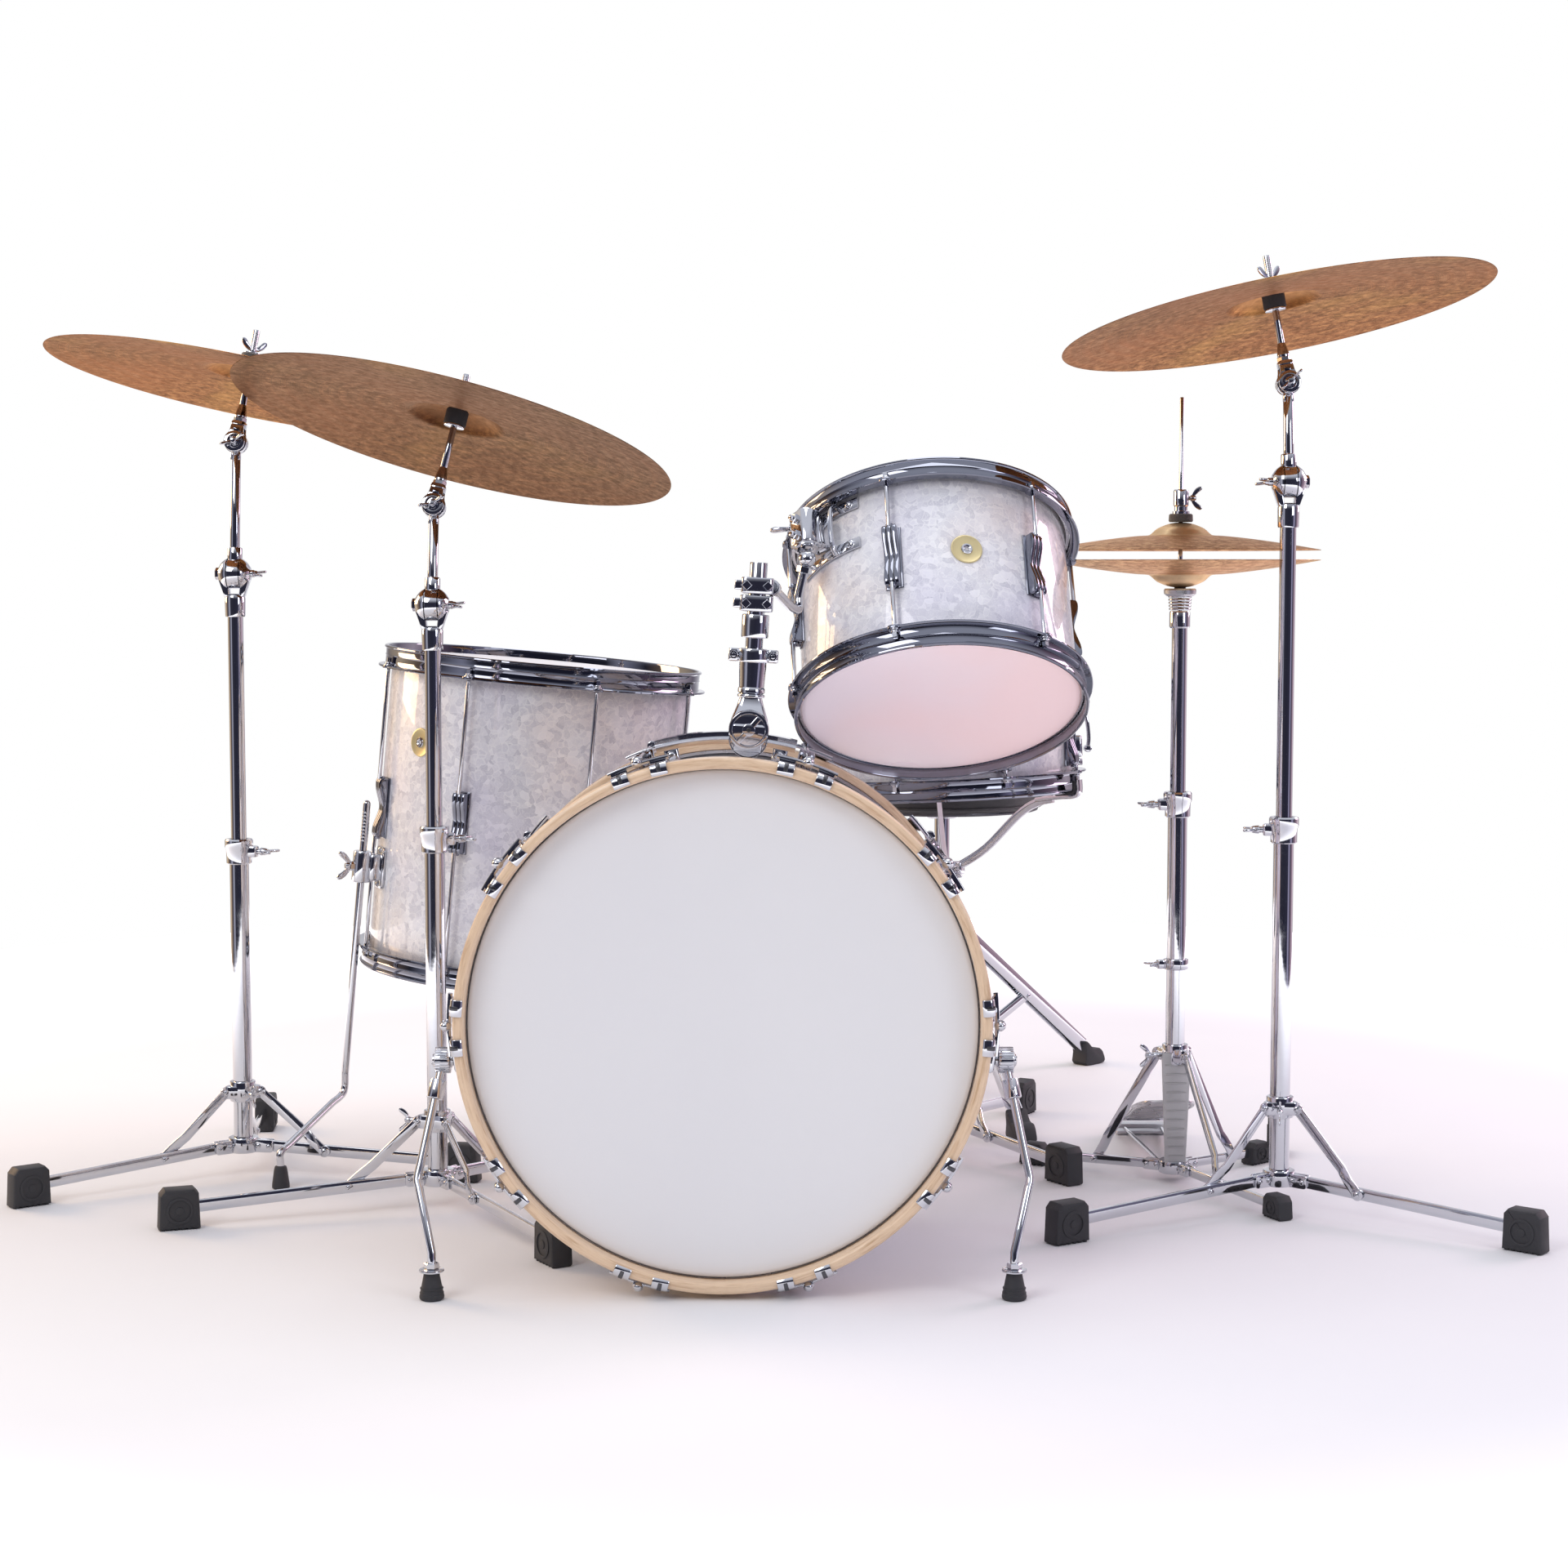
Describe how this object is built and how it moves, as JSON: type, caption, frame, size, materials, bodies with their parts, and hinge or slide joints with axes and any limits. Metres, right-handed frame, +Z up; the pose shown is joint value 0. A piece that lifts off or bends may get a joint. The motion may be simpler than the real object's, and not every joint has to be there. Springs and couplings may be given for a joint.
{
  "type": "acoustic drum kit",
  "caption": "Acoustic drum kit in white pearl with maple bass hoops, chrome flat-base stands, bronze cymbals, hi-hat, kick pedal and throne.",
  "frame": {"origin": "on the floor under the middle of the kit's box", "axes": "+X to the audience's right, +Y from the audience towards the player, +Z up"},
  "size_m": [1.8812, 1.4824, 1.1857],
  "materials": {
    "pearl_wrap": "white marine pearl wrap, glossy",
    "chrome": "polished chrome plate",
    "head_white": "smooth white film",
    "head_clear": "frosted clear film",
    "maple": "clear lacquered maple",
    "bronze": "hammered and lathed bronze",
    "rubber": "moulded black rubber",
    "cast_metal": "satin cast aluminium",
    "seat_vinyl": "grained black vinyl",
    "felt": "pressed wool felt",
    "badge": "gold printed badge",
    "steel_wire": "coiled steel wire"
  },
  "bodies": {
    "stage_set": {"bass_shell": "pearl_wrap", "bass_front_head": "head_white", "bass_rear_head": "head_white", "bass_front_hoop": "maple", "bass_rear_hoop": "maple", "tom_rail": "chrome", "floor_tom_leg_1": "chrome", "floor_tom_leg_2": "chrome", "floor_tom_leg_3": "chrome", "snare_stand_base": "chrome", "hat_stand_base": "chrome", "front_left_stand_base": "chrome", "rear_left_stand_base": "chrome", "right_stand_base": "chrome", "throne_base": "chrome", "kick_pedal_frame": "chrome"},
    "spur_left": {"bass_spur_left": "chrome"},
    "spur_right": {"bass_spur_right": "chrome"},
    "tom_carriage": {"tom_carriage": "chrome"},
    "tom_post": {"tom_post": "chrome"},
    "tom_column": {"tom_column": "chrome"},
    "tom_arm": {"tom_arm": "chrome"},
    "rack_tom": {"tom_shell": "pearl_wrap", "tom_batter_head": "head_white", "tom_bottom_head": "head_clear", "tom_top_hoop": "chrome", "tom_bottom_hoop": "chrome"},
    "floor_tom": {"floor_tom_shell": "pearl_wrap", "floor_tom_batter_head": "head_white", "floor_tom_bottom_head": "head_white", "floor_tom_top_hoop": "chrome", "floor_tom_bottom_hoop": "chrome"},
    "snare_tube": {"snare_stand_tube": "chrome"},
    "snare": {"snare_basket": "chrome", "snare_shell": "pearl_wrap", "snare_batter_head": "head_white", "snare_side_head": "head_clear", "snare_top_hoop": "chrome", "snare_bottom_hoop": "chrome"},
    "strainer_lever": {"snare_strainer_lever": "chrome"},
    "hat_column": {"hat_tube": "chrome", "hat_bottom_cymbal": "bronze"},
    "hat_rod": {"hat_rod": "chrome", "hat_top_cymbal": "bronze"},
    "hat_footboard": {"hat_footboard": "cast_metal"},
    "front_left_tube": {"front_left_stand_tube": "chrome"},
    "front_left_boom": {"front_left_boom": "chrome"},
    "front_left_tilter": {"front_left_tilter": "chrome"},
    "front_left_cymbal": {"front_left_cymbal": "bronze"},
    "rear_left_tube": {"rear_left_stand_tube": "chrome"},
    "rear_left_boom": {"rear_left_boom": "chrome"},
    "rear_left_tilter": {"rear_left_tilter": "chrome"},
    "rear_left_cymbal": {"rear_left_cymbal": "bronze"},
    "right_tube": {"right_stand_tube": "chrome"},
    "right_boom": {"right_boom": "chrome"},
    "right_tilter": {"right_tilter": "chrome"},
    "right_cymbal": {"right_cymbal": "bronze"},
    "throne_seat": {"throne_seat": "seat_vinyl"},
    "kick_footboard": {"kick_footboard": "cast_metal"},
    "kick_beater": {"kick_beater": "chrome"}
  },
  "joints": [
    {"name": "spur_left_fold", "type": "hinge", "parent": "stage_set", "child": "spur_left", "pos_m": [-0.34307, -0.63821, 0.25], "axis": [1, 0, 0], "range_deg": [0, 100]},
    {"name": "spur_right_fold", "type": "hinge", "parent": "stage_set", "child": "spur_right", "pos_m": [0.28893, -0.63821, 0.25], "axis": [1, 0, 0], "range_deg": [0, 100]},
    {"name": "tom_rail_slide", "type": "hinge", "parent": "stage_set", "child": "tom_carriage", "pos_m": [-0.02707, -0.53421, 0.295], "axis": [0, 1, 0], "range_deg": [-10, 1]},
    {"name": "tom_post_tilt", "type": "hinge", "parent": "tom_carriage", "child": "tom_post", "pos_m": [-0.00007, -0.55821, 0.618], "axis": [0, 1, 0], "range_deg": [-8, 0.4]},
    {"name": "tom_height", "type": "slide", "parent": "tom_post", "child": "tom_column", "axis": [0.061, 0, 0.9981], "range_m": [0, 0.05]},
    {"name": "tom_arm_swing", "type": "hinge", "parent": "tom_column", "child": "tom_arm", "pos_m": [-0.00007, -0.55821, 0.618], "axis": [0.061, 0, 0.9981], "range_deg": [-10, 0.3]},
    {"name": "tom_tilt", "type": "hinge", "parent": "tom_arm", "child": "rack_tom", "pos_m": [0.06717, -0.44286, 0.81227], "axis": [1, 0, 0], "range_deg": [0, 12]},
    {"name": "floor_tom_height", "type": "slide", "parent": "stage_set", "child": "floor_tom", "axis": [0.0924, 0, 0.9957], "range_m": [-0.04, 0.05]},
    {"name": "snare_height", "type": "slide", "parent": "stage_set", "child": "snare_tube", "axis": [0, 0, 1], "range_m": [-0.05, 0.06]},
    {"name": "snare_tilt", "type": "hinge", "parent": "snare_tube", "child": "snare", "pos_m": [0.25593, 0.06979, 0.382], "axis": [1, 0, 0], "range_deg": [-4, 6]},
    {"name": "strainer_release", "type": "hinge", "parent": "snare", "child": "strainer_lever", "pos_m": [0.45641, 0.06939, 0.55474], "axis": [0, 0.9994, -0.0349], "range_deg": [0, 80]},
    {"name": "hat_height", "type": "slide", "parent": "stage_set", "child": "hat_column", "axis": [0, 0, 1], "range_m": [-0.04, 0.04]},
    {"name": "hat_rod_travel", "type": "slide", "parent": "hat_column", "child": "hat_rod", "axis": [0, 0, -1], "range_m": [0, 0.0115], "stiffness_N_per_m": 1500, "springref_m": -0.03},
    {"name": "hat_pedal_press", "type": "hinge", "parent": "stage_set", "child": "hat_footboard", "pos_m": [0.55093, 0.15979, 0.024], "axis": [1, 0, 0], "range_deg": [0, 2.55]},
    {"name": "front_left_stand_height", "type": "slide", "parent": "stage_set", "child": "front_left_tube", "axis": [0, 0, 1], "range_m": [-0.08, 0.01]},
    {"name": "front_left_boom_tilt", "type": "hinge", "parent": "front_left_tube", "child": "front_left_boom", "pos_m": [-0.39407, -0.29721, 0.756], "axis": [1, 0, 0], "range_deg": [-7, 6]},
    {"name": "front_left_tilter_turn", "type": "hinge", "parent": "front_left_boom", "child": "front_left_tilter", "pos_m": [-0.39407, -0.27128, 0.878], "axis": [0, 0.9781, -0.2079], "range_deg": [-8, 2.5]},
    {"name": "front_left_cymbal_sway", "type": "hinge", "parent": "front_left_tilter", "child": "front_left_cymbal", "pos_m": [-0.36528, -0.24535, 0.99999], "axis": [0.9744, -0.0468, -0.22], "range_deg": [-4, 4], "stiffness_Nm_per_rad": 20},
    {"name": "rear_left_stand_height", "type": "slide", "parent": "stage_set", "child": "rear_left_tube", "axis": [0, 0, 1], "range_m": [-0.01, 0.08]},
    {"name": "rear_left_boom_tilt", "type": "hinge", "parent": "rear_left_tube", "child": "rear_left_boom", "pos_m": [-0.67607, -0.10221, 0.794], "axis": [1, 0, 0], "range_deg": [-12, 2]},
    {"name": "rear_left_tilter_turn", "type": "hinge", "parent": "rear_left_boom", "child": "rear_left_tilter", "pos_m": [-0.67607, -0.08122, 0.965], "axis": [0, 0.9925, -0.1219], "range_deg": [-8, 1.5]},
    {"name": "rear_left_cymbal_sway", "type": "hinge", "parent": "rear_left_tilter", "child": "rear_left_cymbal", "pos_m": [-0.65766, -0.0685, 1.06861], "axis": [0.9848, -0.0212, -0.1724], "range_deg": [-4, 1.5], "stiffness_Nm_per_rad": 20},
    {"name": "right_stand_height", "type": "slide", "parent": "stage_set", "child": "right_tube", "axis": [0, 0, 1], "range_m": [-0.03, 0.08]},
    {"name": "right_boom_tilt", "type": "hinge", "parent": "right_tube", "child": "right_boom", "pos_m": [0.65993, -0.30021, 0.907], "axis": [1, 0, 0], "range_deg": [-15, 10]},
    {"name": "right_tilter_turn", "type": "hinge", "parent": "right_boom", "child": "right_tilter", "pos_m": [0.65993, -0.286, 1.028], "axis": [0, 0.9932, -0.1167], "range_deg": [-10, 10]},
    {"name": "right_cymbal_sway", "type": "hinge", "parent": "right_tilter", "child": "right_cymbal", "pos_m": [0.64119, -0.27264, 1.14169], "axis": [0.9869, 0.0189, 0.1605], "range_deg": [-4, 4], "stiffness_Nm_per_rad": 20},
    {"name": "seat_height", "type": "slide", "parent": "stage_set", "child": "throne_seat", "axis": [0, 0, 1], "range_m": [-0.05, 0.08]},
    {"name": "kick_board_press", "type": "hinge", "parent": "stage_set", "child": "kick_footboard", "pos_m": [-0.02707, 0.01179, 0.024], "axis": [1, 0, 0], "range_deg": [0, 11.6]},
    {"name": "kick_beater_swing", "type": "hinge", "parent": "stage_set", "child": "kick_beater", "pos_m": [-0.02707, -0.28421, 0.212], "axis": [1, 0, 0], "range_deg": [0, 46.5], "stiffness_Nm_per_rad": 1.5, "springref_deg": -45.84}
  ],
  "couplings": [
    {"joint": "hat_rod_travel", "follows": "hat_pedal_press", "m_per_rad": 0.2535},
    {"joint": "kick_beater_swing", "follows": "kick_board_press", "ratio": 3.9}
  ]
}
